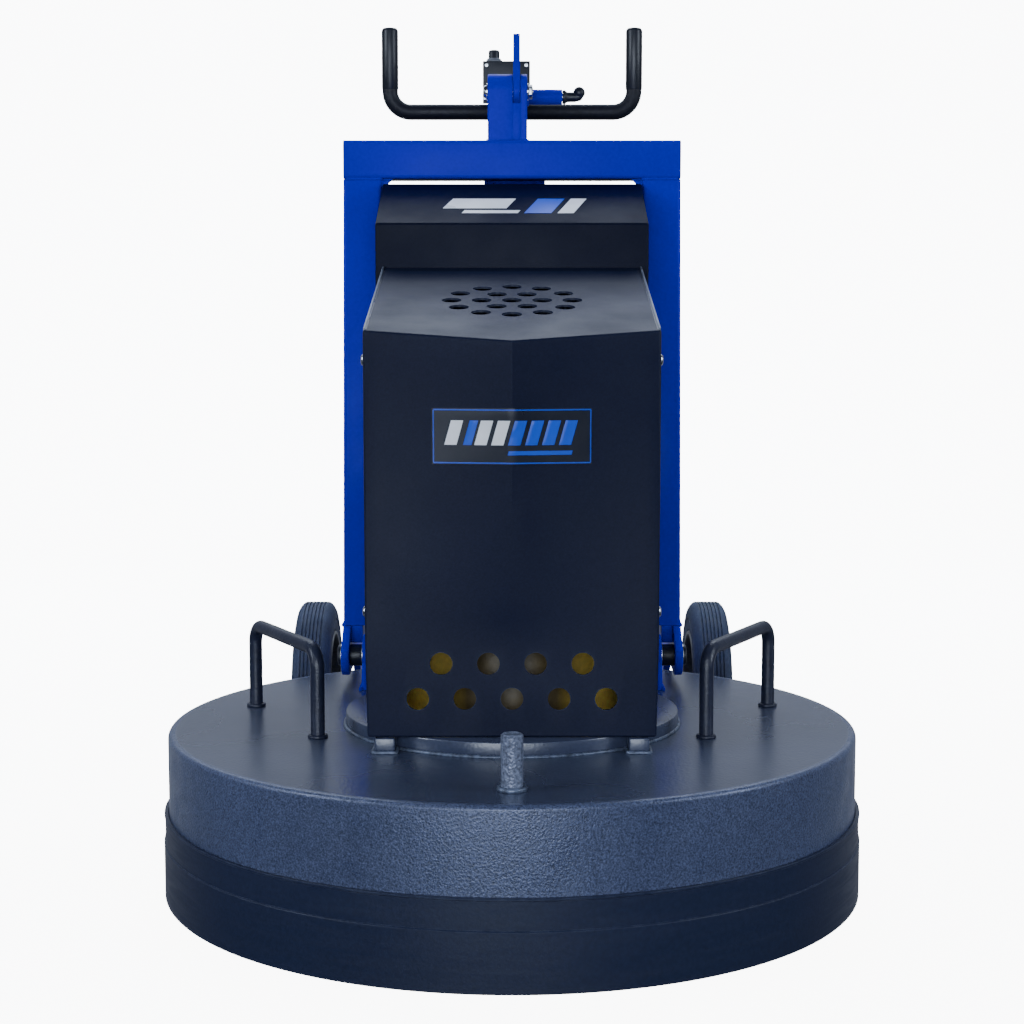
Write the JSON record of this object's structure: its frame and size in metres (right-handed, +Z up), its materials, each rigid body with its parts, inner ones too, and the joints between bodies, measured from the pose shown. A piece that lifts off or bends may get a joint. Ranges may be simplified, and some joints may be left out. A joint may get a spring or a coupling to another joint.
{
  "type": "walk-behind floor grinder",
  "caption": "Walk-behind planetary floor grinder with a round deck, floating skirt, tilting wheeled frame and handle.",
  "frame": {"origin": "middle of the footprint box, on the floor", "axes": "+Z up, -Y is the front of the deck, +Y towards the operator, +X to the right seen from the front"},
  "size_m": [0.8122, 1.034, 1.08],
  "materials": {
    "powder_black": "satin powder coat",
    "hammer_grey": "fine hammered paint",
    "blue_paint": "semi-gloss paint",
    "shroud_rubber": "matt moulded rubber",
    "tyre_rubber": "worn rubber tread",
    "bright_steel": "machined steel",
    "gear_case": "yellow painted casting",
    "winding": "wound stator",
    "black_plastic": "moulded",
    "red_plastic": "moulded",
    "grey_iron": "turned and painted",
    "grey_plastic": "moulded",
    "abrasive": "segmented abrasive disc"
  },
  "bodies": {
    "head": {"deck_shell": "hammer_grey", "base_flange": "hammer_grey", "lift_handle_left": "powder_black", "lift_handle_right": "powder_black", "front_post": "hammer_grey", "pivot_bracket_left": "blue_paint", "pivot_bracket_right": "blue_paint", "pivot_pin_left": "bright_steel", "pivot_pin_right": "bright_steel", "gearbox_housing": "gear_case", "motor_housing": "gear_case", "stator": "winding", "fan_cowl": "powder_black", "front_cover": "powder_black", "cover_screw_lower_left": "bright_steel", "cover_screw_lower_right": "bright_steel", "cover_screw_upper_left": "bright_steel", "cover_screw_upper_right": "bright_steel", "sun_gear": "bright_steel", "carrier_bearing": "bright_steel"},
    "skirt": {"skirt": "shroud_rubber"},
    "carrier": {"carrier": "grey_iron", "output_gear": "bright_steel"},
    "rotor": {"motor_rotor": "bright_steel", "pinion_gear": "bright_steel", "cooling_fan": "black_plastic"},
    "chassis": {"upright_left": "blue_paint", "upright_right": "blue_paint", "frame_top_bar": "blue_paint", "frame_cross_bar": "blue_paint", "wheel_arm_left": "blue_paint", "wheel_arm_right": "blue_paint", "axle": "bright_steel", "rear_enclosure": "powder_black", "control_panel": "powder_black", "inverter": "grey_plastic", "power_inlet": "grey_plastic", "handle_mast": "blue_paint", "hinge_bolt": "bright_steel"},
    "wheel_left": {"tyre_left": "tyre_rubber", "wheel_hub_left": "grey_plastic"},
    "wheel_right": {"tyre_right": "tyre_rubber", "wheel_hub_right": "grey_plastic"},
    "handle": {"sector_plate": "blue_paint", "handlebar": "powder_black", "switch_block": "black_plastic"},
    "clamp_lever": {"clamp_lever": "bright_steel"},
    "start_button": {"start_button": "black_plastic"},
    "emergency_stop": {"emergency_stop": "red_plastic"},
    "speed_knob": {"speed_knob": "black_plastic"},
    "tool_head_1": {"spindle_plate_1": "grey_iron", "planet_gear_1": "bright_steel", "tool_disc_1": "abrasive"},
    "tool_head_2": {"spindle_plate_2": "grey_iron", "planet_gear_2": "bright_steel", "tool_disc_2": "abrasive"},
    "tool_head_3": {"spindle_plate_3": "grey_iron", "planet_gear_3": "bright_steel", "tool_disc_3": "abrasive"}
  },
  "joints": [
    {"name": "skirt_float", "type": "slide", "parent": "head", "child": "skirt", "axis": [0, 0, 1], "range_m": [0, 0.025]},
    {"name": "carrier_spin", "type": "hinge", "parent": "head", "child": "carrier", "pos_m": [0, -0.11093, 0.09], "axis": [0, 0, 1], "continuous": true},
    {"name": "tool_head_1_spin", "type": "hinge", "parent": "carrier", "child": "tool_head_1", "pos_m": [0, 0.12907, 0.09], "axis": [0, 0, 1], "continuous": true},
    {"name": "tool_head_2_spin", "type": "hinge", "parent": "carrier", "child": "tool_head_2", "pos_m": [-0.20785, -0.23093, 0.09], "axis": [0, 0, 1], "continuous": true},
    {"name": "tool_head_3_spin", "type": "hinge", "parent": "carrier", "child": "tool_head_3", "pos_m": [0.20785, -0.23093, 0.09], "axis": [0, 0, 1], "continuous": true},
    {"name": "rotor_spin", "type": "hinge", "parent": "head", "child": "rotor", "pos_m": [0, -0.17093, 0.4], "axis": [0, 0, 1], "continuous": true},
    {"name": "chassis_tilt", "type": "hinge", "parent": "head", "child": "chassis", "pos_m": [0, 0.12407, 0.226], "axis": [1, 0, 0], "range_deg": [-6, 0.6]},
    {"name": "wheel_left_spin", "type": "hinge", "parent": "chassis", "child": "wheel_left", "pos_m": [-0.28, 0.38903, 0.128], "axis": [1, 0, 0], "continuous": true},
    {"name": "wheel_right_spin", "type": "hinge", "parent": "chassis", "child": "wheel_right", "pos_m": [0.28, 0.38903, 0.128], "axis": [1, 0, 0], "continuous": true},
    {"name": "handle_tilt", "type": "hinge", "parent": "chassis", "child": "handle", "pos_m": [0, 0.24107, 0.96], "axis": [1, 0, 0], "range_deg": [-40, 20]},
    {"name": "clamp_lever_turn", "type": "hinge", "parent": "chassis", "child": "clamp_lever", "pos_m": [0, 0.30107, 0.96], "axis": [1, 0, 0], "range_deg": [0, 90]},
    {"name": "start_button_press", "type": "slide", "parent": "handle", "child": "start_button", "axis": [0, 0, 1], "range_m": [-0.004, 0], "stiffness_N_per_m": 400, "springref_m": 0.001},
    {"name": "emergency_stop_press", "type": "slide", "parent": "chassis", "child": "emergency_stop", "axis": [0, 1, 0], "range_m": [-0.005, 0], "stiffness_N_per_m": 600, "springref_m": 0.001},
    {"name": "speed_knob_turn", "type": "hinge", "parent": "chassis", "child": "speed_knob", "pos_m": [0.09, 0.29237, 0.74], "axis": [0, 1, 0], "range_deg": [-135, 135]}
  ],
  "couplings": [
    {"joint": "tool_head_1_spin", "follows": "carrier_spin", "ratio": 1.5},
    {"joint": "tool_head_2_spin", "follows": "carrier_spin", "ratio": 1.5},
    {"joint": "tool_head_3_spin", "follows": "carrier_spin", "ratio": 1.5},
    {"joint": "rotor_spin", "follows": "carrier_spin", "ratio": -3}
  ]
}
